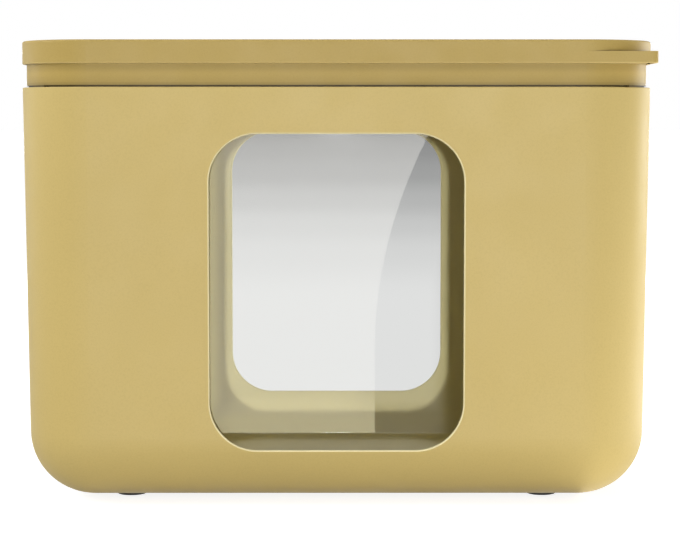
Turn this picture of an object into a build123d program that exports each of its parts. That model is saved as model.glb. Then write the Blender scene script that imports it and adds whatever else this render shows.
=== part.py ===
from build123d import *
from math import cos, radians, tan
import os

# A hooded cat litter box: a deep moulded tub with a way in at the front and a
# matching opening at the back, a clear flap, and a hood made of a frame and a lid.
# Millimetres. Z is up, the front faces -Y, and the feet stand on Z = 0.

# Tub
tub_width = 560.0
tub_depth = 400.0
tub_height = 365.0
tub_corner_radius = 64.0
tub_bottom_radius = 58.0
draft_angle = 0.7
tub_wall = 3.2
tub_floor = 3.6
corner_margin = 1.0
rim_round = 1.0

# Way in at the front, and its twin at the back
entry_width = 222.0
entry_sill = 47.3
entry_head = 40.7
entry_corner_radius = 42.0
entry_edge_round = 1.5

# Rubber feet and the rings that seat them
foot_drop = 4.0
foot_diameter = 27.0
foot_edge_round = 1.2
foot_inset_x = 14.5
foot_inset_y = 0.5
foot_ring_wall = 2.4
foot_ring_height = 1.5
foot_ring_clearance = 0.15

# Flap
flap_thickness = 2.2
flap_overlap = 3.0
flap_bottom_gap = 14.5
flap_corner_radius = 8.0
flap_wall_gap = 2.9
flap_axis_rise = 4.0
flap_barrel_wall = 1.5
flap_edge_round = 0.5

# Flap rod and the lugs that hold it
rod_diameter = 4.0
rod_press_fit = 0.02
rod_running_fit = 0.08
rod_head_overhang = 1.2
rod_head_thickness = 1.6
rod_end_reach = 1.0
rod_end_chamfer = 0.4
rod_lug_width = 5.0
rod_lug_wall = 1.6
rod_lug_rise = 12.0
rod_lug_side_gap = 0.6

# Hood frame
neck_visible = 20.4
neck_clearance = 0.6
reveal_height = 1.3
reveal_depth = 1.6
frame_wall = 2.8
frame_skirt_gap = 6.7
frame_lip_width = 9.0
frame_lip_thickness = 2.4
seat_lug_length = 16.0
seat_lug_reach = 2.6

# Hood lid
lid_height = 20.4
lid_wall = 2.6
lid_top = 2.8
lid_top_round = 2.0
lid_lower_round = 1.0
lid_rib_height = 5.0
lid_rib_width = 2.0
lid_rib_margin = 12.0
lid_rib_columns = 3
lid_rib_rows = 1

# Lift tab on the lid's front right corner
tab_height = 10.4
tab_setback = 1.6
tab_corner_radius = 5.0
tab_web = 2.6

# Lid hinge
hinge_spacing = 300.0
hinge_pin_diameter = 4.0
hinge_pin_chamfer = 0.4
hinge_press_fit = 0.02
hinge_running_fit = 0.08
hinge_knuckle_wall = 2.4
hinge_knuckle_width = 20.0
hinge_lug_width = 6.0
hinge_side_gap = 0.4
hinge_face_gap = 0.8
hinge_drop = 6.0
hinge_arm_rise = 7.0

# Levels that follow from the sizes above
rim_z = foot_drop + tub_height
sill_z = foot_drop + entry_sill
entry_top_z = rim_z - entry_head
entry_height = entry_top_z - sill_z
entry_middle_z = (sill_z + entry_top_z) / 2
lid_bottom_z = rim_z + neck_visible
lid_top_z = lid_bottom_z + lid_height
frame_top_z = lid_top_z - lid_top
reveal_top_z = rim_z + reveal_height

# Feet, set in from the edge of the flat part of the tub's underside
draft_slope = tan(radians(draft_angle))
tub_shrink = tub_height * draft_slope
underside_inset = tub_shrink + min(tub_bottom_radius, tub_corner_radius - tub_shrink - corner_margin)
foot_ring_bore = foot_diameter + 2 * foot_ring_clearance
foot_ring_radius = foot_ring_bore / 2 + foot_ring_wall
foot_x = tub_width / 2 - underside_inset - foot_inset_x - foot_ring_radius
foot_y = tub_depth / 2 - underside_inset - foot_inset_y - foot_ring_radius

# Flap outline, axis and rod, measured from the way in and the drafted wall
flap_half_width = entry_width / 2 + flap_overlap
flap_bottom_z = sill_z + flap_bottom_gap
flap_bore_radius = rod_diameter / 2 + rod_running_fit
flap_barrel_radius = flap_bore_radius + flap_barrel_wall
flap_axis_z = entry_top_z + flap_axis_rise
flap_height = flap_axis_z - flap_bottom_z
front_inner_y = -tub_depth / 2 + (rim_z - flap_axis_z) * draft_slope + tub_wall
flap_axis_y = front_inner_y + flap_wall_gap + flap_barrel_radius
rod_lug_bore_radius = rod_diameter / 2 + rod_press_fit
rod_lug_radius = rod_lug_bore_radius + rod_lug_wall
rod_lug_inner_x = flap_half_width + rod_lug_side_gap
rod_lug_outer_x = rod_lug_inner_x + rod_lug_width
rod_lug_root_y = front_inner_y - tub_wall / 2
rod_lug_top_z = flap_axis_z + rod_lug_rise
skirt_bottom_z = rod_lug_top_z + frame_skirt_gap

# Hood outlines, drawn in from the tub's rim
neck_inset = tub_wall + neck_clearance
neck_width = tub_width - 2 * neck_inset
neck_depth = tub_depth - 2 * neck_inset
neck_radius = tub_corner_radius - neck_inset
neck_rear_y = neck_depth / 2
frame_lip_y = neck_rear_y - frame_wall - frame_lip_width
seat_width = neck_width + 2 * seat_lug_reach
seat_depth = neck_depth + 2 * seat_lug_reach
seat_radius = neck_radius + seat_lug_reach
corner_bulge = tub_corner_radius * (1 - cos(radians(45)))
seat_lug_x = tub_width / 2 - corner_bulge
seat_lug_y = tub_depth / 2 - corner_bulge
rib_inset = frame_wall + frame_lip_width + lid_rib_margin
rib_span_x = neck_width - 2 * rib_inset
rib_span_y = neck_depth - 2 * rib_inset
rib_corner_radius = neck_radius - rib_inset
tab_right_x = tub_width / 2 - tab_setback
tab_front_y = -tub_depth / 2
tab_length = tub_corner_radius - tab_setback

# Lid hinge places, from left to right along the back
hinge_bore_radius = hinge_pin_diameter / 2 + hinge_running_fit
hinge_knuckle_radius = hinge_bore_radius + hinge_knuckle_wall
hinge_axis_y = neck_rear_y + hinge_face_gap + hinge_knuckle_radius
hinge_axis_z = lid_bottom_z - hinge_drop
hinge_arm_root_y = tub_depth / 2 - lid_wall / 2
hinge_lug_root_y = neck_rear_y - frame_wall / 2
hinge_places = (-hinge_spacing / 2, hinge_spacing / 2)
hinge_lug_offset = (hinge_knuckle_width + hinge_lug_width) / 2 + hinge_side_gap
hinge_lug_places = [x + s * hinge_lug_offset for x in hinge_places for s in (-1, 1)]
hinge_pin_length = hinge_knuckle_width + 2 * (hinge_side_gap + hinge_lug_width)

os.makedirs("parts", exist_ok=True)


def drafted_block(inset, underside_z):
    """The tub's drafted block with its round lower edge, drawn in by inset all round."""
    shrink = (rim_z - underside_z) * draft_slope
    width = tub_width - 2 * inset
    depth = tub_depth - 2 * inset
    radius = tub_corner_radius - inset
    with BuildPart() as block:
        with BuildSketch(Plane.XY.offset(underside_z)):
            RectangleRounded(width - 2 * shrink, depth - 2 * shrink, radius - shrink)
        with BuildSketch(Plane.XY.offset(rim_z)):
            RectangleRounded(width, depth, radius)
        loft()
        lower_edges = block.faces().sort_by(Axis.Z)[0].edges()
        largest_round = radius - shrink - corner_margin
        fillet(lower_edges, min(tub_bottom_radius - inset, largest_round))
    return block.part


def save(piece, name):
    """Label a finished piece and write it to its own file."""
    piece.label = name
    export_step(piece, f"parts/{name}.step")


# Tub: a drafted shell, pierced front and back, with rod lugs inside above the way in
with BuildPart() as tub:
    add(drafted_block(0.0, foot_drop))
    add(drafted_block(tub_wall, foot_drop + tub_floor), mode=Mode.SUBTRACT)
    fillet(tub.edges().group_by(Axis.Z)[-1], rim_round)

    with BuildSketch(Plane.XZ.offset(-tub_depth)):
        with Locations((0, entry_middle_z)):
            RectangleRounded(entry_width, entry_height, entry_corner_radius)
    extrude(amount=2 * tub_depth, mode=Mode.SUBTRACT)
    entry_outlines = tub.edges(Select.LAST).filter_by(Axis.Y, reverse=True)
    fillet(entry_outlines, entry_edge_round)

    for side in (-1, 1):
        with BuildSketch(Plane.YZ.offset(side * (rod_lug_inner_x + rod_lug_width / 2))):
            with Locations((flap_axis_y, flap_axis_z)):
                Circle(rod_lug_radius)
            Polygon(
                (rod_lug_root_y, flap_axis_z - rod_lug_radius),
                (flap_axis_y, flap_axis_z - rod_lug_radius),
                (flap_axis_y, flap_axis_z + rod_lug_radius),
                (rod_lug_root_y, rod_lug_top_z),
                align=None,
            )
            with Locations((flap_axis_y, flap_axis_z)):
                Circle(rod_lug_bore_radius, mode=Mode.SUBTRACT)
        extrude(amount=rod_lug_width / 2, both=True)

    with BuildSketch(Plane.XY.offset(foot_drop)):
        with GridLocations(2 * foot_x, 2 * foot_y, 2, 2):
            Circle(foot_ring_radius)
            Circle(foot_ring_bore / 2, mode=Mode.SUBTRACT)
    extrude(amount=-foot_ring_height)
save(tub.part, "tub")

# Rubber feet, seated in the rings under the tub
for end, along in (("front", -1), ("rear", 1)):
    for hand, across in (("left", -1), ("right", 1)):
        with BuildPart() as foot:
            with BuildSketch():
                with Locations((across * foot_x, along * foot_y)):
                    Circle(foot_diameter / 2)
            extrude(amount=foot_drop)
            fillet(foot.faces().sort_by(Axis.Z)[0].edges(), foot_edge_round)
        save(foot.part, f"foot_{end}_{hand}")

# Flap: a clear pane, wider than the way in, that hangs from a barrel behind the wall
with BuildPart() as entry_flap:
    with BuildSketch(Plane.XZ.offset(-flap_axis_y)) as pane:
        with Locations((0, flap_bottom_z)):
            Rectangle(2 * flap_half_width, flap_height, align=(Align.CENTER, Align.MIN))
        fillet(pane.vertices().group_by(Axis.Y)[0], flap_corner_radius)
    extrude(amount=flap_thickness / 2, both=True)
    pane_edges = entry_flap.edges().filter_by(Axis.Y, reverse=True)
    free_edges = pane_edges.filter_by_position(
        Axis.Z, flap_bottom_z, flap_axis_z, (True, False)
    )
    fillet(free_edges, flap_edge_round)

    with BuildSketch(Plane.YZ):
        with Locations((flap_axis_y, flap_axis_z)):
            Circle(flap_barrel_radius)
    extrude(amount=flap_half_width, both=True)
    with BuildSketch(Plane.YZ):
        with Locations((flap_axis_y, flap_axis_z)):
            Circle(flap_bore_radius)
    extrude(amount=flap_half_width, both=True, mode=Mode.SUBTRACT)
save(entry_flap.part, "entry_flap")

# Rod: carries the flap between the two lugs, with a head at its left end
with BuildPart() as flap_rod:
    with BuildSketch(Plane.YZ.offset(-rod_lug_outer_x)):
        with Locations((flap_axis_y, flap_axis_z)):
            Circle(rod_diameter / 2)
    extrude(amount=2 * rod_lug_outer_x + rod_end_reach)
    chamfer(flap_rod.faces().sort_by(Axis.X)[-1].edges(), rod_end_chamfer)
    with BuildSketch(Plane.YZ.offset(-rod_lug_outer_x)):
        with Locations((flap_axis_y, flap_axis_z)):
            Circle(rod_diameter / 2 + rod_head_overhang)
    extrude(amount=-rod_head_thickness)
    fillet(flap_rod.faces().sort_by(Axis.X)[0].edges(), rod_head_thickness / 2)
save(flap_rod.part, "flap_rod")

# Hood frame: one section swept round the tub's mouth, with seat lugs and hinge lugs
with BuildSketch(Plane.XY.offset(rim_z)) as neck_outline:
    RectangleRounded(neck_width, neck_depth, neck_radius)

with BuildSketch(Plane.XY.offset(rim_z)) as seat_lugs:
    with GridLocations(2 * seat_lug_x, 2 * seat_lug_y, 2, 2):
        Circle(seat_lug_length / 2)
    with BuildSketch(Plane.XY, mode=Mode.INTERSECT):
        RectangleRounded(seat_width, seat_depth, seat_radius)
        RectangleRounded(
            neck_width - 2 * reveal_depth,
            neck_depth - 2 * reveal_depth,
            neck_radius - reveal_depth,
            mode=Mode.SUBTRACT,
        )

with BuildPart() as hood_frame:
    with BuildSketch(Plane.YZ):
        with BuildLine():
            Polyline(
                (neck_rear_y, skirt_bottom_z),
                (neck_rear_y, rim_z),
                (neck_rear_y - reveal_depth, rim_z),
                (neck_rear_y - reveal_depth, reveal_top_z),
                (neck_rear_y, reveal_top_z),
                (neck_rear_y, frame_top_z),
                (frame_lip_y, frame_top_z),
                (frame_lip_y, frame_top_z - frame_lip_thickness),
                (neck_rear_y - frame_wall, frame_top_z - frame_lip_thickness),
                (neck_rear_y - frame_wall, skirt_bottom_z),
                close=True,
            )
        make_face()
    sweep(path=neck_outline.sketch.wires()[0])
    extrude(seat_lugs.sketch, amount=reveal_height)

    for lug_x in hinge_lug_places:
        with BuildSketch(Plane.YZ.offset(lug_x)):
            with Locations((hinge_axis_y, hinge_axis_z)):
                Circle(hinge_knuckle_radius)
                Rectangle(
                    hinge_axis_y - hinge_lug_root_y,
                    2 * hinge_knuckle_radius,
                    align=(Align.MAX, Align.CENTER),
                )
                Circle(hinge_pin_diameter / 2 + hinge_press_fit, mode=Mode.SUBTRACT)
        extrude(amount=hinge_lug_width / 2, both=True)
save(hood_frame.part, "hood_frame")

# Lid: a shallow shell with a squared lift tab on its front right corner
with BuildPart() as hood_lid:
    with BuildSketch(Plane.XY.offset(lid_bottom_z)):
        RectangleRounded(tub_width, tub_depth, tub_corner_radius)
    extrude(amount=lid_height)
    fillet(hood_lid.faces().sort_by(Axis.Z)[-1].edges(), lid_top_round)

    with BuildSketch(Plane.XY.offset(lid_bottom_z)) as tab_plan:
        with Locations((tab_right_x, tab_front_y)):
            Rectangle(tab_length, tab_length, align=(Align.MAX, Align.MIN))
        fillet(tab_plan.vertices().sort_by(Axis.X)[-2:].sort_by(Axis.Y)[0], tab_corner_radius)
    extrude(amount=tab_height)

    with BuildSketch(Plane.XY.offset(lid_bottom_z)):
        RectangleRounded(
            tub_width - 2 * lid_wall,
            tub_depth - 2 * lid_wall,
            tub_corner_radius - lid_wall,
        )
    extrude(amount=lid_height - lid_top, mode=Mode.SUBTRACT)

    with BuildSketch(Plane.XY.offset(lid_bottom_z)):
        with Locations((tab_right_x - lid_wall, tab_front_y + lid_wall)):
            Rectangle(tab_length, tab_length, align=(Align.MAX, Align.MIN))
        RectangleRounded(tub_width, tub_depth, tub_corner_radius, mode=Mode.SUBTRACT)
    extrude(amount=tab_height - tab_web, mode=Mode.SUBTRACT)

    lower_face = hood_lid.faces().filter_by(Axis.Z).group_by(Axis.Z)[0]
    fillet(lower_face.sort_by(SortBy.AREA)[-1].outer_wire().edges(), lid_lower_round)

    with BuildSketch(Plane.XY.offset(frame_top_z)):
        RectangleRounded(rib_span_x, rib_span_y, rib_corner_radius)
        RectangleRounded(
            rib_span_x - 2 * lid_rib_width,
            rib_span_y - 2 * lid_rib_width,
            rib_corner_radius - lid_rib_width,
            mode=Mode.SUBTRACT,
        )
        with GridLocations(rib_span_x / (lid_rib_columns + 1), 0, lid_rib_columns, 1):
            Rectangle(lid_rib_width, rib_span_y - lid_rib_width)
        with GridLocations(0, rib_span_y / (lid_rib_rows + 1), 1, lid_rib_rows):
            Rectangle(rib_span_x - lid_rib_width, lid_rib_width)
    extrude(amount=-lid_rib_height)

    for hinge_x in hinge_places:
        with BuildSketch(Plane.YZ.offset(hinge_x)):
            with Locations((hinge_axis_y, hinge_axis_z)):
                Circle(hinge_knuckle_radius)
            Polygon(
                (hinge_arm_root_y, hinge_axis_z),
                (hinge_axis_y + hinge_knuckle_radius, hinge_axis_z),
                (hinge_axis_y + hinge_knuckle_radius, lid_bottom_z),
                (tub_depth / 2, lid_bottom_z + hinge_arm_rise),
                (hinge_arm_root_y, lid_bottom_z + hinge_arm_rise),
                align=None,
            )
            with Locations((hinge_axis_y, hinge_axis_z)):
                Circle(hinge_bore_radius, mode=Mode.SUBTRACT)
        extrude(amount=hinge_knuckle_width / 2, both=True)
save(hood_lid.part, "hood_lid")

# Lid hinge pins, pressed into the frame's lugs
for hand, hinge_x in zip(("left", "right"), hinge_places):
    with BuildPart() as hinge_pin:
        with BuildSketch(Plane.YZ.offset(hinge_x)):
            with Locations((hinge_axis_y, hinge_axis_z)):
                Circle(hinge_pin_diameter / 2)
        extrude(amount=hinge_pin_length / 2, both=True)
        chamfer(hinge_pin.faces().filter_by(Axis.X).edges(), hinge_pin_chamfer)
    save(hinge_pin.part, f"lid_hinge_pin_{hand}")
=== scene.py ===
import math

import bmesh
import bpy
from bpy.props import FloatProperty, FloatVectorProperty, PointerProperty
from bpy.types import NodeSocket, Operator, Panel, PropertyGroup
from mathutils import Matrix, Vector

bl_info = {
    "name": "Hooded litter box looks",
    "version": (1, 0, 0),
    "blender": (4, 5, 0),
    "location": "View3D > Sidebar > Litter box",
    "description": "Finishes a hooded cat litter box and sets it on a white studio floor",
    "category": "Object",
}

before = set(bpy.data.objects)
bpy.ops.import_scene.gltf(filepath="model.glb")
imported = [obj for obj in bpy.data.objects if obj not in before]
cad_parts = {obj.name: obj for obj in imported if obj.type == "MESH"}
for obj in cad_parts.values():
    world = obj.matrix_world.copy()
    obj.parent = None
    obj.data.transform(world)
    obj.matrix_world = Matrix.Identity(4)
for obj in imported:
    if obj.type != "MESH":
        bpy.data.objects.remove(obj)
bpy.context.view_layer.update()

FEET = ("foot_front_left", "foot_front_right", "foot_rear_left", "foot_rear_right")
STEEL_PIECES = ("flap_rod", "lid_hinge_pin_left", "lid_hinge_pin_right")

WHITE = (1.0, 1.0, 1.0, 1.0)
# Where most values of a noise pattern lie
NOISE_BULK = (0.3, 0.7)
# A distance past every piece, in metres, which leaves an axis out of a measure
FAR_OFF = 10.0

# Sizes of the tub's moulding, in metres, that tell its inner faces from its outer ones
CORNER_CENTRE = (0.216, 0.136)
CORNER_RADIUS = 0.064
BOTTOM_RADIUS = 0.058
FOOT_HEIGHT = 0.004
ROUNDING_TOP = BOTTOM_RADIUS + FOOT_HEIGHT
RIM_HEIGHT = 0.369
WALL = 0.0032
DRAFT = math.tan(math.radians(0.7))

# The two openings, in metres: half their width and height, the height of their middle, their
# corners, and how far outside them the painted highlight on their edge starts and stops fading
ENTRY_HALF = (0.111, 0.1385)
ENTRY_MIDDLE = 0.1898
ENTRY_RADIUS = 0.042
ENTRY_EDGE_FADE = (0.0006, 0.0015)

# The lid's lower edge, in metres, and how far below and above it a pale line is painted on as a
# highlight
LID_EDGE_HEIGHT = 0.3894
LID_EDGE_BELOW = 0.0003
LID_EDGE_ABOVE = 0.0012
EDGE_HIGHLIGHT_COLOUR = (0.78, 0.60, 0.24, 1.0)

# Heights on the hood's neck, in metres, and how much of its colour is left there: painted shade
# under the lid's overhang, towards the seam and in the gap above the tub's rim
NECK_SHADE_BANDS = (
    (0.3688, 1.0),
    (0.3692, 0.2),
    (0.3705, 0.2),
    (0.3709, 0.66),
    (0.3726, 0.76),
    (0.3736, 0.88),
    (0.3795, 1.0),
    (0.3815, 1.0),
    (0.3845, 0.9),
    (0.3872, 0.84),
    (0.3885, 0.9),
    (0.3894, 1.0),
)

# Moulded plastic: its gloss, its clouds of tone, the flecks of its grain and its worn patches
PLASTIC_INDEX = 1.49
PLASTIC_GLOSS = 0.3
FRAME_GLOSS = 0.25
CLOUDS_PER_METRE = 5.0
CLOUD_TONES = (0.98, 1.02)
FLECKED = (0.45, 0.72)
FLECK_COLOUR = (0.95, 0.945, 0.925, 1.0)
WORN_PER_METRE = 38.0
WORN_ROUGHNESS = 0.04
GRAIN_STRENGTH = 0.6
# How open to the room a spot is where painted shade darkens it fully, and where it has none
TUB_CREVICES = (0.6, 0.92)
FRAME_CREVICES = (0.2, 0.4)
LID_CREVICES = (0.4, 0.8)
CREVICE_SAMPLES = 8
CREVICE_SHADE_TONE = 0.05

# Clear sheet: its smudges, and the most that it mirrors when seen edge on
SMUDGES_PER_METRE = 22.0
SMUDGED = (0.5, 0.85)
SMUDGE_ROUGHNESS = 0.02
MOST_MIRRORED = 0.1

# Rubber: the dust on it and its pores
RUBBER_INDEX = 1.5
RUBBER_ROUGHNESS = (0.7, 0.88)
DUST_PER_METRE = 160.0
DUSTED = (0.4, 0.75)
DUST_TONES = (0.8, 1.6)
PORES_PER_METRE = 900.0
PORE_STRENGTH = 0.5
PORE_DEPTH = 0.00008

# Steel: the fine lines that drawing leaves along it
STEEL_ROUGHNESS = (0.24, 0.4)
LINES_PER_METRE = 2600.0
LINE_STRETCH = (0.02, 1.0, 1.0)
LINED = (0.35, 0.65)
LINE_TONES = (0.86, 1.08)

# Camera: the photograph's width in pixels, the sensor in millimetres, the sight in metres
PHOTO_WIDTH = 680
SENSOR_WIDTH = 36.0
SIGHT_END = 200.0

# Lamps, in metres: the point they light, and the cone of the narrow ones in radians
BOX_MIDDLE = (0.0, 0.0, 0.2)
SPOT_CONE = 0.3
SPOT_BLEND = 0.25
FLOOR_LAMP_HEIGHT = 0.003
FLOOR_LAMP_AIM = 0.4
ROOM_TINT = (0.97, 0.98, 1.0, 1.0)

# Floor: its size in metres, its grey under the lamps, and how its own white falls off near the box
FLOOR_REACH = 60.0
FLOOR_COLOUR = (0.5, 0.5, 0.5, 1.0)
FLOOR_NEAR = (0.3, 1.3)
FLOOR_WHITES = (0.85, 1.0)
# Distances behind the box, in metres, and how bright the floor there shows through the clear flap
FLOOR_TONES = (
    (1.85, 0.74),
    (3.3, 0.68),
    (4.55, 0.61),
    (6.57, 0.5),
    (10.7, 0.38),
    (20.8, 0.31),
    (43.4, 0.24),
)

# Glare panel, in metres: its right edge is straight below and bends outwards above
PANEL_Y = -3.19
PANEL_LEFT = -0.5
PANEL_BOTTOM = -0.45
PANEL_TOP = 0.36
PANEL_RIGHT = 0.0915
BEND_START = -0.2
BEND_HEIGHT = 0.49
BEND_WIDTH = 0.1185
BEND_STEPS = 24
# Where the panel is brighter: its foot, its head and its left end
PANEL_FOOT = (-0.375, -0.315)
PANEL_HEAD = (0.045, 0.3)
PANEL_HEAD_GAIN = 0.45
PANEL_END = (-0.295, -0.262)
PANEL_COLOUR = (1.0, 0.975, 0.92, 1.0)
PANEL_RIM_COLOUR = (1.0, 0.93, 0.65, 1.0)

# Shade card, in metres, and where it darkens: outwards, upwards and at its foot
CARD_Y = -3.2
CARD_RIGHT = 0.6
CARD_BOTTOM = -0.5
CARD_TOP = 0.45
CARD_SIDE = (0.225, 0.262)
CARD_UPPER = (-0.05, 0.12)
CARD_LOWER = (-0.36, -0.33)
CARD_DARK = 0.12
CARD_FOOT = 0.5


class MouldedFinish(PropertyGroup):
    """Satin plastic of the tub and of the hood."""

    tub_colour: FloatVectorProperty(
        name="Tub colour",
        description="Colour of the tub's plastic",
        subtype="COLOR",
        size=3,
        min=0.0,
        max=1.0,
        default=(0.60, 0.455, 0.16),
    )
    hood_colour: FloatVectorProperty(
        name="Hood colour",
        description="Colour of the hood frame and lid, a shade darker than the tub",
        subtype="COLOR",
        size=3,
        min=0.0,
        max=1.0,
        default=(0.462, 0.329, 0.091),
    )
    # Painted light: the tub's inner faces, the same moulding as its outside, take this paler,
    # greener colour for the light inside it
    inside_light_colour: FloatVectorProperty(
        name="Inside colour",
        description="Colour of the tub's inside, paler and greener than its outside",
        subtype="COLOR",
        size=3,
        min=0.0,
        max=1.0,
        default=(0.83, 0.745, 0.38),
    )
    # Painted highlight: the rounded edge round the two openings takes this pale colour for the
    # sheen it catches
    edge_highlight_colour: FloatVectorProperty(
        name="Edge colour",
        description="Colour of the trimmed edge round the two openings",
        subtype="COLOR",
        size=3,
        min=0.0,
        max=1.0,
        default=(0.95, 0.85, 0.50),
    )
    roughness: FloatProperty(
        name="Roughness",
        description="Middle of the satin surface's roughness",
        subtype="FACTOR",
        min=0.0,
        max=1.0,
        default=0.52,
    )
    # Painted shade: how near two faces stand where the plastic between them is darkened
    crevice_reach: FloatProperty(
        name="Crevice reach",
        description="How near two faces stand where dust darkens the plastic between them",
        unit="LENGTH",
        min=0.0,
        max=0.05,
        default=0.004,
    )
    grain_size: FloatProperty(
        name="Grain size",
        description="Width of one pip of the mould's fine grain",
        unit="LENGTH",
        min=0.0002,
        max=0.01,
        default=0.0014,
    )
    grain_depth: FloatProperty(
        name="Grain depth",
        description="Depth of the mould's fine grain",
        unit="LENGTH",
        min=0.0,
        max=0.001,
        default=0.00006,
    )


class ClearFinish(PropertyGroup):
    """Clear sheet of the flap."""

    index: FloatProperty(
        name="Refractive index",
        description="How strongly the flap's two faces mirror what is in front of them",
        min=1.0,
        max=2.0,
        default=PLASTIC_INDEX,
    )
    tint: FloatVectorProperty(
        name="Tint",
        description="Colour of the light that the flap lets through",
        subtype="COLOR",
        size=3,
        min=0.0,
        max=1.0,
        default=(0.985, 0.99, 0.985),
    )
    polish: FloatProperty(
        name="Polish",
        description="Roughness of the flap's faces at their cleanest",
        subtype="FACTOR",
        min=0.0,
        max=1.0,
        default=0.012,
    )


class SmallPartFinish(PropertyGroup):
    """Rubber feet, and the steel rod and pins."""

    rubber_colour: FloatVectorProperty(
        name="Rubber colour",
        description="Colour of the feet",
        subtype="COLOR",
        size=3,
        min=0.0,
        max=1.0,
        default=(0.009, 0.0085, 0.008),
    )
    steel_colour: FloatVectorProperty(
        name="Steel colour",
        description="Colour of the flap rod and of the lid's hinge pins",
        subtype="COLOR",
        size=3,
        min=0.0,
        max=1.0,
        default=(0.60, 0.60, 0.61),
    )


class StudioStage(PropertyGroup):
    """Camera, lamps and the panel that the flap mirrors."""

    camera_distance: FloatProperty(
        name="Camera distance",
        description="From the camera to the middle of the box",
        unit="LENGTH",
        default=1.929,
    )
    camera_height: FloatProperty(
        name="Camera height",
        description="Height of the camera above the floor",
        unit="LENGTH",
        default=0.3403,
    )
    camera_pitch: FloatProperty(
        name="Camera pitch",
        description="How far the camera looks down",
        subtype="ANGLE",
        default=math.radians(4.21),
    )
    camera_aim: FloatProperty(
        name="Camera aim",
        description="How far the camera is turned to the right of the box's middle",
        subtype="ANGLE",
        default=math.radians(0.1),
    )
    lens_pixels: FloatProperty(
        name="Lens",
        description="Focal length in pixels of the photograph",
        default=1996.0,
    )
    front_level: FloatProperty(
        name="Front lamp",
        description="What the lamp behind the camera adds to a white surface facing it",
        default=0.356,
    )
    tall_level: FloatProperty(
        name="Tall lamp",
        description="What the tall lamp behind the camera adds to a white surface facing it",
        default=0.08,
    )
    key_level: FloatProperty(
        name="Key lamp",
        description="What the lamp right of the camera adds to a white surface facing it",
        default=0.1,
    )
    rear_level: FloatProperty(
        name="Rear lamps",
        description="What each low lamp behind the box adds to a white surface facing it",
        default=0.12,
    )
    right_level: FloatProperty(
        name="Right lamp",
        description="What the lamp behind the right side adds to a white surface facing it",
        default=0.36,
    )
    low_level: FloatProperty(
        name="Low lamp",
        description="What the low lamp at the right adds to a white surface facing it",
        default=0.13,
    )
    floor_level: FloatProperty(
        name="Floor lamp",
        description="What the lamp on the floor in front adds to a white surface above it",
        default=0.13,
    )
    side_level: FloatProperty(
        name="Side lamp",
        description="What the lamp on the floor at the right adds to a white surface above it",
        default=2.7,
    )
    left_level: FloatProperty(
        name="Left lamp",
        description="What the lamp behind the left side adds to a white surface facing it",
        default=0.11,
    )
    back_level: FloatProperty(
        name="Back lamp",
        description="What the lamp behind the box adds to a white surface facing it",
        default=0.12,
    )
    top_level: FloatProperty(
        name="Top lamp",
        description="What the lamp overhead adds to a white surface facing it",
        default=0.42,
    )
    fill_level: FloatProperty(
        name="Fill lamp",
        description="What the lamp left of the box adds to a white surface facing it",
        default=0.40,
    )
    room_level: FloatProperty(
        name="Room light",
        description="Even light from all round",
        default=0.07,
    )
    glare_level: FloatProperty(
        name="Glare panel",
        description="Brightness of the panel that is mirrored in the flap",
        default=1.95,
    )


def new_material(name):
    """An empty node material, with its node tree and its output's surface socket."""
    material = bpy.data.materials.new(name)
    material.use_nodes = True
    tree = material.node_tree
    tree.nodes.clear()
    output = tree.nodes.new("ShaderNodeOutputMaterial")
    return material, tree, output.inputs["Surface"]


def dress(node_names, material):
    """Give CAD nodes a material in every slot."""
    for name in node_names:
        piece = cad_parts[name]
        if not piece.material_slots:
            raise RuntimeError(f"{name} has no material slot")
        for slot in piece.material_slots:
            slot.link = "OBJECT"
            slot.material = material


def feed(tree, socket, source):
    """Link a socket to a node's output, or set it to a fixed number or colour."""
    if isinstance(source, NodeSocket):
        tree.links.new(source, socket)
    else:
        socket.default_value = source


def own_place(tree):
    """The place on an object, in its own metres."""
    return tree.nodes.new("ShaderNodeTexCoord").outputs["Object"]


def axes(tree, place):
    """The three coordinates of a place, by the names of their axes."""
    split = tree.nodes.new("ShaderNodeSeparateXYZ")
    tree.links.new(place, split.inputs["Vector"])
    return split.outputs


def noise(tree, place, per_metre, detail, roughness=0.5):
    """A noise pattern with about so many patches to the metre."""
    pattern = tree.nodes.new("ShaderNodeTexNoise")
    pattern.inputs["Scale"].default_value = per_metre
    pattern.inputs["Detail"].default_value = detail
    pattern.inputs["Roughness"].default_value = roughness
    tree.links.new(place, pattern.inputs["Vector"])
    return pattern.outputs["Fac"]


def remap(tree, value, low, high, new_low=0.0, new_high=1.0):
    """Stretch a value from one range to another, held at its ends."""
    stretch = tree.nodes.new("ShaderNodeMapRange")
    stretch.clamp = True
    stretch.inputs["From Min"].default_value = low
    stretch.inputs["From Max"].default_value = high
    stretch.inputs["To Min"].default_value = new_low
    stretch.inputs["To Max"].default_value = new_high
    tree.links.new(value, stretch.inputs["Value"])
    return stretch.outputs["Result"]


def math_step(tree, operation, first, second):
    """One step of arithmetic on a value and a number or another value."""
    step = tree.nodes.new("ShaderNodeMath")
    step.operation = operation
    feed(tree, step.inputs[0], first)
    feed(tree, step.inputs[1], second)
    return step.outputs["Value"]


def vector_step(tree, operation, first, second=None):
    """One step of arithmetic on a vector."""
    step = tree.nodes.new("ShaderNodeVectorMath")
    step.operation = operation
    tree.links.new(first, step.inputs[0])
    if second:
        step.inputs[1].default_value = second
    return step.outputs["Value" if operation == "LENGTH" else "Vector"]


def shaded(colour, factor=1.0):
    """A colour made darker or lighter, as RGBA."""
    return tuple(min(1.0, part * factor) for part in colour) + (1.0,)


def grey(tone):
    """A grey, as RGBA."""
    return (tone, tone, tone, 1.0)


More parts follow.
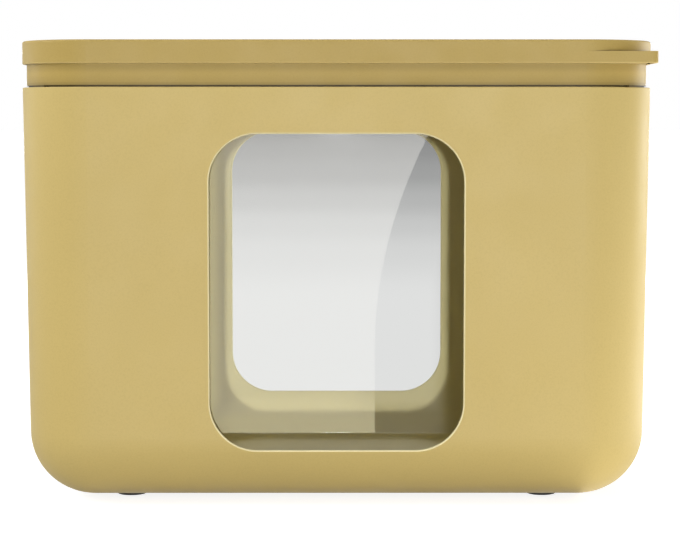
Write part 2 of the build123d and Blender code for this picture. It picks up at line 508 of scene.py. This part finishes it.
def mix_colours(tree, factor, first, second, blend="MIX"):
    """Go from one colour to another, or lay the second over the first by another blend."""
    mix = tree.nodes.new("ShaderNodeMix")
    mix.data_type = "RGBA"
    mix.blend_type = blend
    feed(tree, mix.inputs["Factor"], factor)
    feed(tree, mix.inputs["A"], first)
    feed(tree, mix.inputs["B"], second)
    return mix.outputs["Result"]


def mix_tones(tree, factor, colour, tones):
    """Go from one tone of a colour to another."""
    darker, lighter = tones
    return mix_colours(tree, factor, shaded(colour, darker), shaded(colour, lighter))


def grey_ramp(tree, value, stops, interpolation="LINEAR"):
    """Greys along a value: pairs of a value and its tone, in rising order."""
    low, high = stops[0][0], stops[-1][0]
    ramp = tree.nodes.new("ShaderNodeValToRGB")
    ramp.color_ramp.interpolation = interpolation
    steps = ramp.color_ramp.elements
    steps[0].color = grey(stops[0][1])
    steps[1].color = grey(stops[-1][1])
    for level, tone in stops[1:-1]:
        steps.new((level - low) / (high - low)).color = grey(tone)
    tree.links.new(remap(tree, value, low, high), ramp.inputs["Fac"])
    return ramp.outputs["Color"]


def raised(tree, pattern, strength, depth):
    """The tilt that a fine pattern gives to a surface."""
    bump = tree.nodes.new("ShaderNodeBump")
    bump.inputs["Strength"].default_value = strength
    bump.inputs["Distance"].default_value = depth
    tree.links.new(pattern, bump.inputs["Height"])
    return bump.outputs["Normal"]


def glowing(tree, colour, strength=1.0):
    """A shader that gives light of its own."""
    glow = tree.nodes.new("ShaderNodeEmission")
    feed(tree, glow.inputs["Color"], colour)
    feed(tree, glow.inputs["Strength"], strength)
    return glow.outputs["Emission"]


def mix_shaders(tree, factor, first, second):
    """Go from one shader to another."""
    mix = tree.nodes.new("ShaderNodeMixShader")
    tree.links.new(factor, mix.inputs["Fac"])
    tree.links.new(first, mix.inputs[1])
    tree.links.new(second, mix.inputs[2])
    return mix.outputs["Shader"]


def length_beyond(tree, place, start):
    """How far a place lies past a start, the same way on both sides of the middle."""
    across = vector_step(tree, "ABSOLUTE", place)
    beyond = vector_step(tree, "SUBTRACT", across, start)
    beyond = vector_step(tree, "MAXIMUM", beyond, (0.0, 0.0, 0.0))
    return vector_step(tree, "LENGTH", beyond)


def inside_of_tub(tree, place):
    """1 on the tub's inner faces and 0 on its outer ones, split at the middle of the wall."""
    reach = length_beyond(tree, place, (*CORNER_CENTRE, FAR_OFF))
    height = axes(tree, place)["Z"]
    leaned = remap(tree, height, 0.0, RIM_HEIGHT, RIM_HEIGHT * DRAFT, 0.0)
    wall = math_step(tree, "ADD", reach, leaned)
    wall = math_step(tree, "SUBTRACT", wall, CORNER_RADIUS - BOTTOM_RADIUS)
    wall = math_step(tree, "MAXIMUM", wall, 0.0)
    depth = remap(tree, height, 0.0, ROUNDING_TOP, ROUNDING_TOP, 0.0)
    both = tree.nodes.new("ShaderNodeCombineXYZ")
    tree.links.new(wall, both.inputs["X"])
    tree.links.new(depth, both.inputs["Y"])
    skin = vector_step(tree, "LENGTH", both.outputs["Vector"])
    return math_step(tree, "LESS_THAN", skin, BOTTOM_RADIUS - WALL / 2)


def edge_of_ways_in(tree, place):
    """1 on the rounded edge of the two openings and 0 elsewhere on the outside."""
    level = vector_step(tree, "SUBTRACT", place, (0.0, 0.0, ENTRY_MIDDLE))
    half_x, half_z = ENTRY_HALF
    start = (half_x - ENTRY_RADIUS, FAR_OFF, half_z - ENTRY_RADIUS)
    reach = length_beyond(tree, level, start)
    full, gone = (ENTRY_RADIUS + fade for fade in ENTRY_EDGE_FADE)
    return remap(tree, reach, full, gone, 1.0, 0.0)


def painted_shade_bands(tree, place, plain, bands):
    """Darken a colour by height, as painted shade along an edge: pairs of height and tone."""
    tones = grey_ramp(tree, axes(tree, place)["Z"], bands)
    return mix_colours(tree, 1.0, plain, tones, "MULTIPLY")


def painted_edge_highlight(tree, place, plain, edge_height):
    """Paint a pale highlight line along an edge at a height."""
    height = axes(tree, place)["Z"]
    edge = remap(tree, height, edge_height, edge_height + LID_EDGE_ABOVE, 1.0, 0.0)
    above = math_step(tree, "GREATER_THAN", height, edge_height - LID_EDGE_BELOW)
    edge = math_step(tree, "MULTIPLY", edge, above)
    return mix_colours(tree, edge, plain, EDGE_HIGHLIGHT_COLOUR)


def moulded_plastic(
    name,
    colour,
    finish,
    crevices,
    gloss=PLASTIC_GLOSS,
    inside_light_colour=None,
    edge_height=None,
    bands=(),
):
    """Satin plastic with a fine mould grain, painted shade in its crevices and faint clouds of
    tone.
    """
    material, tree, surface = new_material(name)
    place = own_place(tree)
    shader = tree.nodes.new("ShaderNodeBsdfPrincipled")
    shader.inputs["IOR"].default_value = PLASTIC_INDEX
    shader.inputs["Specular IOR Level"].default_value = gloss

    clouds = noise(tree, place, CLOUDS_PER_METRE, detail=3.0)
    grain = noise(tree, place, 1.0 / finish.grain_size, detail=2.0, roughness=0.6)
    plain = mix_tones(tree, remap(tree, clouds, *NOISE_BULK), colour, CLOUD_TONES)
    if edge_height:
        plain = painted_edge_highlight(tree, place, plain, edge_height)
    if bands:
        plain = painted_shade_bands(tree, place, plain, bands)
    if inside_light_colour:
        # Painted highlight: the rounded edge of the openings takes a paler colour
        edge = edge_of_ways_in(tree, place)
        plain = mix_colours(tree, edge, plain, shaded(finish.edge_highlight_colour))
        # Painted light: the inner faces take a paler, greener colour for the light inside the tub
        inside = inside_of_tub(tree, place)
        plain = mix_colours(tree, inside, plain, shaded(inside_light_colour))
    flecks = remap(tree, grain, *FLECKED)
    flecked = mix_colours(tree, flecks, plain, FLECK_COLOUR, "MULTIPLY")
    # Painted shade: an occlusion test darkens the colour in crevices and between parts
    crevice = tree.nodes.new("ShaderNodeAmbientOcclusion")
    crevice.samples = CREVICE_SAMPLES
    crevice.inputs["Distance"].default_value = finish.crevice_reach
    unshaded = remap(tree, crevice.outputs["AO"], *crevices)
    crevice_shaded = mix_colours(tree, unshaded, shaded(colour, CREVICE_SHADE_TONE), flecked)
    tree.links.new(crevice_shaded, shader.inputs["Base Color"])

    worn = noise(tree, place, WORN_PER_METRE, detail=4.0)
    smoothest = finish.roughness - WORN_ROUGHNESS
    roughest = finish.roughness + WORN_ROUGHNESS
    roughness = remap(tree, worn, *NOISE_BULK, smoothest, roughest)
    tree.links.new(roughness, shader.inputs["Roughness"])
    pips = raised(tree, grain, GRAIN_STRENGTH, finish.grain_depth)
    tree.links.new(pips, shader.inputs["Normal"])
    tree.links.new(shader.outputs["BSDF"], surface)
    return material


class LITTERBOX_OT_finish_tub(Operator):
    """Give the tub its satin plastic"""

    bl_idname = "litterbox.finish_tub"
    bl_label = "Finish tub"

    def execute(self, context):
        finish = context.scene.litterbox_moulded
        tub_plastic = moulded_plastic(
            "tub_plastic",
            finish.tub_colour,
            finish,
            TUB_CREVICES,
            inside_light_colour=finish.inside_light_colour,
        )
        dress(("tub",), tub_plastic)
        return {"FINISHED"}


class LITTERBOX_OT_finish_hood(Operator):
    """Give the hood frame and lid their darker satin plastic"""

    bl_idname = "litterbox.finish_hood"
    bl_label = "Finish hood"

    def execute(self, context):
        finish = context.scene.litterbox_moulded
        frame_plastic = moulded_plastic(
            "frame_plastic",
            finish.hood_colour,
            finish,
            FRAME_CREVICES,
            gloss=FRAME_GLOSS,
            bands=NECK_SHADE_BANDS,
        )
        dress(("hood_frame",), frame_plastic)
        lid_plastic = moulded_plastic(
            "lid_plastic",
            finish.hood_colour,
            finish,
            LID_CREVICES,
            edge_height=LID_EDGE_HEIGHT,
        )
        dress(("hood_lid",), lid_plastic)
        return {"FINISHED"}


class LITTERBOX_OT_finish_flap(Operator):
    """Give the flap its clear polished sheet"""

    bl_idname = "litterbox.finish_flap"
    bl_label = "Finish flap"

    def execute(self, context):
        finish = context.scene.litterbox_clear
        material, tree, surface = new_material("clear_sheet")
        see_through = tree.nodes.new("ShaderNodeBsdfTransparent")
        see_through.inputs["Color"].default_value = shaded(finish.tint)
        gloss = tree.nodes.new("ShaderNodeBsdfGlossy")
        gloss.inputs["Color"].default_value = WHITE
        smudges = noise(tree, own_place(tree), SMUDGES_PER_METRE, detail=5.0, roughness=0.62)
        smudgiest = finish.polish + SMUDGE_ROUGHNESS
        roughness = remap(tree, smudges, *SMUDGED, finish.polish, smudgiest)
        tree.links.new(roughness, gloss.inputs["Roughness"])
        mirror = tree.nodes.new("ShaderNodeFresnel")
        rear_face = tree.nodes.new("ShaderNodeNewGeometry").outputs["Backfacing"]
        both_faces = remap(tree, rear_face, 0.0, 1.0, finish.index, 1.0 / finish.index)
        tree.links.new(both_faces, mirror.inputs["IOR"])
        mirrored = math_step(tree, "MINIMUM", mirror.outputs["Fac"], MOST_MIRRORED)
        sheet = mix_shaders(tree, mirrored, see_through.outputs["BSDF"], gloss.outputs["BSDF"])
        tree.links.new(sheet, surface)
        dress(("entry_flap",), material)
        return {"FINISHED"}


class LITTERBOX_OT_finish_feet(Operator):
    """Give the feet their matt rubber"""

    bl_idname = "litterbox.finish_feet"
    bl_label = "Finish feet"

    def execute(self, context):
        finish = context.scene.litterbox_small
        material, tree, surface = new_material("foot_rubber")
        place = own_place(tree)
        shader = tree.nodes.new("ShaderNodeBsdfPrincipled")
        shader.inputs["IOR"].default_value = RUBBER_INDEX
        dust = noise(tree, place, DUST_PER_METRE, detail=4.0)
        dusty = mix_tones(tree, remap(tree, dust, *DUSTED), finish.rubber_colour, DUST_TONES)
        tree.links.new(dusty, shader.inputs["Base Color"])
        roughness = remap(tree, dust, *NOISE_BULK, *RUBBER_ROUGHNESS)
        tree.links.new(roughness, shader.inputs["Roughness"])
        pores = noise(tree, place, PORES_PER_METRE, detail=2.0)
        tree.links.new(raised(tree, pores, PORE_STRENGTH, PORE_DEPTH), shader.inputs["Normal"])
        tree.links.new(shader.outputs["BSDF"], surface)
        dress(FEET, material)
        return {"FINISHED"}


class LITTERBOX_OT_finish_steel(Operator):
    """Give the flap rod and the hinge pins their drawn steel"""

    bl_idname = "litterbox.finish_steel"
    bl_label = "Finish rod and pins"

    def execute(self, context):
        finish = context.scene.litterbox_small
        material, tree, surface = new_material("drawn_steel")
        along = tree.nodes.new("ShaderNodeMapping")
        along.inputs["Scale"].default_value = LINE_STRETCH
        tree.links.new(own_place(tree), along.inputs["Vector"])
        lines = noise(tree, along.outputs["Vector"], LINES_PER_METRE, detail=3.0)
        shader = tree.nodes.new("ShaderNodeBsdfPrincipled")
        shader.inputs["Metallic"].default_value = 1.0
        lined = mix_tones(tree, remap(tree, lines, *LINED), finish.steel_colour, LINE_TONES)
        tree.links.new(lined, shader.inputs["Base Color"])
        roughness = remap(tree, lines, *NOISE_BULK, *STEEL_ROUGHNESS)
        tree.links.new(roughness, shader.inputs["Roughness"])
        tree.links.new(shader.outputs["BSDF"], surface)
        dress(STEEL_PIECES, material)
        return {"FINISHED"}


def add_camera(scene, stage):
    """The camera at the photograph's place."""
    camera = bpy.data.cameras.new("camera")
    camera.sensor_width = SENSOR_WIDTH
    camera.lens = stage.lens_pixels * camera.sensor_width / PHOTO_WIDTH
    camera.clip_end = SIGHT_END
    holder = bpy.data.objects.new("camera", camera)
    holder.location = (0.0, -stage.camera_distance, stage.camera_height)
    holder.rotation_euler = (math.pi / 2 - stage.camera_pitch, 0.0, -stage.camera_aim)
    bpy.context.collection.objects.link(holder)
    scene.camera = holder


def aim(name, lamp, place, target):
    """Put a lamp in place, turned to a point and out of the camera's sight."""
    holder = bpy.data.objects.new(name, lamp)
    holder.location = place
    holder.rotation_euler = (Vector(target) - Vector(place)).to_track_quat("-Z", "Y").to_euler()
    holder.visible_camera = False
    bpy.context.collection.objects.link(holder)


def lamp_power(place, target, level):
    """The power of a flat lamp that adds a level to a white surface at its target."""
    return level * (math.pi * (Vector(target) - Vector(place)).length) ** 2


def add_spot(name, place, radius, level):
    """A narrow lamp aimed at the middle of the box."""
    lamp = bpy.data.lights.new(name, "SPOT")
    lamp.spot_size = SPOT_CONE
    lamp.spot_blend = SPOT_BLEND
    lamp.shadow_soft_size = radius
    # A spot's power counts as if it shone all round, four times what a flat lamp needs
    lamp.energy = 4.0 * lamp_power(place, BOX_MIDDLE, level)
    aim(name, lamp, place, BOX_MIDDLE)


def add_soft(name, place, size, level, target=BOX_MIDDLE):
    """A soft flat lamp aimed at a point."""
    lamp = bpy.data.lights.new(name, "AREA")
    lamp.shape = "RECTANGLE"
    lamp.size, lamp.size_y = size
    lamp.energy = lamp_power(place, target, level)
    aim(name, lamp, place, target)


def add_floor_lamp(name, x, y, size, level):
    """A soft flat lamp that lies on the floor and shines straight up."""
    target = (x, y, FLOOR_LAMP_AIM)
    add_soft(name, (x, y, FLOOR_LAMP_HEIGHT), size, level, target)


def add_lamps(stage):
    """All the lamps round the box."""
    add_spot("front_lamp", (0.0, -6.05, 0.37), 0.05, stage.front_level)
    add_soft("tall_lamp", (0.0, -6.05, 2.0), (0.12, 3.2), stage.tall_level)
    add_spot("key_lamp", (1.25, -5.9, 0.37), 0.2, stage.key_level)
    add_soft("right_lamp", (2.17, 1.25, 0.6), (0.9, 1.0), stage.right_level)
    add_soft("low_lamp", (1.4, -0.75, 0.12), (0.8, 0.2), stage.low_level)
    add_floor_lamp("floor_lamp", 0.44, -0.26, (0.44, 0.26), stage.floor_level)
    add_floor_lamp("side_lamp", 0.8, 0.1, (0.8, 0.7), stage.side_level)
    add_soft("left_lamp", (-2.3, 0.98, 0.6), (0.9, 1.0), stage.left_level)
    add_soft("back_lamp", (0.0, 2.46, 1.92), (0.6, 0.6), stage.back_level)
    for x in (-0.9, 0.9):
        add_soft("rear_lamp", (x, 2.5, 0.4), (0.3, 0.3), stage.rear_level)
    add_soft("top_lamp", (0.0, -0.4, 2.6), (2.4, 2.0), stage.top_level)
    add_soft("fill_lamp", (-2.08, -0.56, 1.3), (1.2, 1.2), stage.fill_level)


def background(tree, colour, strength):
    """A shader of the world behind everything."""
    shader = tree.nodes.new("ShaderNodeBackground")
    shader.inputs["Color"].default_value = colour
    shader.inputs["Strength"].default_value = strength
    return shader.outputs["Background"]


def white_world(scene, stage):
    """A world that looks white, also in mirrors and through glass, and lights the box faintly."""
    world = bpy.data.worlds.new("studio")
    world.use_nodes = True
    tree = world.node_tree
    tree.nodes.clear()
    output = tree.nodes.new("ShaderNodeOutputWorld")
    ray = tree.nodes.new("ShaderNodeLightPath").outputs
    room = background(tree, ROOM_TINT, stage.room_level)
    white = background(tree, WHITE, 1.0)
    through = math_step(tree, "MAXIMUM", ray["Is Glossy Ray"], ray["Is Transmission Ray"])
    looked_at = math_step(tree, "MAXIMUM", ray["Is Camera Ray"], through)
    mixed = mix_shaders(tree, looked_at, room, white)
    tree.links.new(mixed, output.inputs["Surface"])
    scene.world = world


def flat_mesh(name, corners, material):
    """One flat face through the given corners."""
    mesh = bpy.data.meshes.new(name)
    shape = bmesh.new()
    shape.faces.new([shape.verts.new(corner) for corner in corners])
    shape.to_mesh(mesh)
    shape.free()
    mesh.materials.append(material)
    piece = bpy.data.objects.new(name, mesh)
    bpy.context.collection.objects.link(piece)
    return piece


def white_floor():
    """A floor that looks white, keeps the box's shadow, and dims with distance behind the flap."""
    material, tree, surface = new_material("studio_floor")
    ray = tree.nodes.new("ShaderNodeLightPath").outputs
    place = tree.nodes.new("ShaderNodeNewGeometry").outputs["Position"]
    diffuse = tree.nodes.new("ShaderNodeBsdfDiffuse")
    diffuse.inputs["Color"].default_value = FLOOR_COLOUR
    matt = diffuse.outputs["BSDF"]

    from_box = vector_step(tree, "LENGTH", place)
    whiteness = remap(tree, from_box, *FLOOR_NEAR, *FLOOR_WHITES)
    lit = tree.nodes.new("ShaderNodeAddShader")
    tree.links.new(glowing(tree, WHITE, whiteness), lit.inputs[0])
    tree.links.new(matt, lit.inputs[1])

    nearest = FLOOR_TONES[0][0]
    behind = math_step(tree, "MAXIMUM", axes(tree, place)["Y"], nearest)
    doublings = math_step(tree, "LOGARITHM", behind, 2.0)
    tones = [(math.log2(distance), tone) for distance, tone in FLOOR_TONES]
    # Painted shade: the floor seen through the flap glows in these greys, darker with distance,
    # for the lamps' fall-off there
    distant = glowing(tree, grey_ramp(tree, doublings, tones, "EASE"))

    past_flap = math_step(tree, "GREATER_THAN", ray["Transparent Depth"], 0.5)
    seen = mix_shaders(tree, past_flap, lit.outputs["Shader"], distant)
    looked_at = math_step(tree, "MAXIMUM", ray["Is Camera Ray"], ray["Is Transmission Ray"])
    tree.links.new(mix_shaders(tree, looked_at, matt, seen), surface)

    sides = ((-1, -1), (1, -1), (1, 1), (-1, 1))
    corners = [(x * FLOOR_REACH, y * FLOOR_REACH, 0.0) for x, y in sides]
    floor = flat_mesh("floor", corners, material)
    # Mirrors see past the floor to the world, which is white there too
    floor.visible_glossy = False


def mirrored_only(panel):
    """Show a studio panel in reflections alone."""
    panel.visible_camera = False
    panel.visible_diffuse = False
    panel.visible_shadow = False
    panel.visible_transmission = False


def glare_panel(stage):
    """The bright panel behind the camera that the flap mirrors, with a curved right edge."""
    material, tree, surface = new_material("panel_light")
    place = axes(tree, own_place(tree))
    foot = remap(tree, place["Z"], *PANEL_FOOT, 1.0, 0.0)
    head = remap(tree, place["Z"], *PANEL_HEAD, 0.0, PANEL_HEAD_GAIN)
    end = remap(tree, place["X"], *PANEL_END, 1.0, 0.0)
    rim = math_step(tree, "MAXIMUM", foot, end)
    colour = mix_colours(tree, rim, PANEL_COLOUR, PANEL_RIM_COLOUR)
    gain = math_step(tree, "MAXIMUM", rim, head)
    strength = math_step(tree, "ADD", gain, 1.0)
    strength = math_step(tree, "MULTIPLY", strength, stage.glare_level)
    tree.links.new(glowing(tree, colour, strength), surface)

    corners = []
    for step in range(BEND_STEPS + 1):
        z = PANEL_BOTTOM + (PANEL_TOP - PANEL_BOTTOM) * step / BEND_STEPS
        lean = max(0.0, (z - BEND_START) / BEND_HEIGHT)
        corners.append((PANEL_RIGHT + BEND_WIDTH * lean ** 2, PANEL_Y, z))
    corners += [(PANEL_LEFT, PANEL_Y, PANEL_TOP), (PANEL_LEFT, PANEL_Y, PANEL_BOTTOM)]
    mirrored_only(flat_mesh("glare_panel", corners, material))


def shade_card():
    """The card beside the glare panel that shades what the flap's right side mirrors."""
    material, tree, surface = new_material("card_shade")
    place = axes(tree, own_place(tree))
    side = remap(tree, place["X"], *CARD_SIDE, 1.0, CARD_DARK)
    upper = remap(tree, place["Z"], *CARD_UPPER, 1.0, CARD_DARK)
    lower = remap(tree, place["Z"], *CARD_LOWER, CARD_FOOT, 1.0)
    ends = math_step(tree, "MINIMUM", upper, lower)
    strength = math_step(tree, "MINIMUM", side, ends)
    tree.links.new(glowing(tree, WHITE, strength), surface)

    corners = [
        (0.0, CARD_Y, CARD_BOTTOM),
        (CARD_RIGHT, CARD_Y, CARD_BOTTOM),
        (CARD_RIGHT, CARD_Y, CARD_TOP),
        (0.0, CARD_Y, CARD_TOP),
    ]
    mirrored_only(flat_mesh("shade_card", corners, material))


class LITTERBOX_OT_set_stage(Operator):
    """Set up the camera, the lamps, the white floor and the panels that the flap mirrors"""

    bl_idname = "litterbox.set_stage"
    bl_label = "Set stage"

    def execute(self, context):
        scene = context.scene
        stage = scene.litterbox_stage
        scene.view_settings.view_transform = "Standard"
        add_camera(scene, stage)
        add_lamps(stage)
        white_world(scene, stage)
        white_floor()
        glare_panel(stage)
        shade_card()
        return {"FINISHED"}


class LITTERBOX_PT_sidebar(Panel):
    """Lists the sizes, colours and steps that finish the litter box"""

    bl_idname = "LITTERBOX_PT_sidebar"
    bl_label = "Litter box"
    bl_space_type = "VIEW_3D"
    bl_region_type = "UI"
    bl_category = "Litter box"

    def draw(self, context):
        layout = self.layout
        for group in GROUPS:
            settings = getattr(context.scene, group)
            for name in settings.__annotations__:
                layout.prop(settings, name)
        for step in STEPS:
            layout.operator(step.bl_idname)


GROUPS = {
    "litterbox_moulded": MouldedFinish,
    "litterbox_clear": ClearFinish,
    "litterbox_small": SmallPartFinish,
    "litterbox_stage": StudioStage,
}
STEPS = (
    LITTERBOX_OT_finish_tub,
    LITTERBOX_OT_finish_hood,
    LITTERBOX_OT_finish_flap,
    LITTERBOX_OT_finish_feet,
    LITTERBOX_OT_finish_steel,
    LITTERBOX_OT_set_stage,
)


def register():
    for name, group in GROUPS.items():
        bpy.utils.register_class(group)
        setattr(bpy.types.Scene, name, PointerProperty(type=group))
    for step in STEPS:
        bpy.utils.register_class(step)
    bpy.utils.register_class(LITTERBOX_PT_sidebar)


def unregister():
    bpy.utils.unregister_class(LITTERBOX_PT_sidebar)
    for step in reversed(STEPS):
        bpy.utils.unregister_class(step)
    for name, group in reversed(GROUPS.items()):
        delattr(bpy.types.Scene, name)
        bpy.utils.unregister_class(group)


def main():
    register()
    bpy.ops.litterbox.finish_tub()
    bpy.ops.litterbox.finish_hood()
    bpy.ops.litterbox.finish_flap()
    bpy.ops.litterbox.finish_feet()
    bpy.ops.litterbox.finish_steel()
    bpy.ops.litterbox.set_stage()


if __name__ == "__main__":
    main()
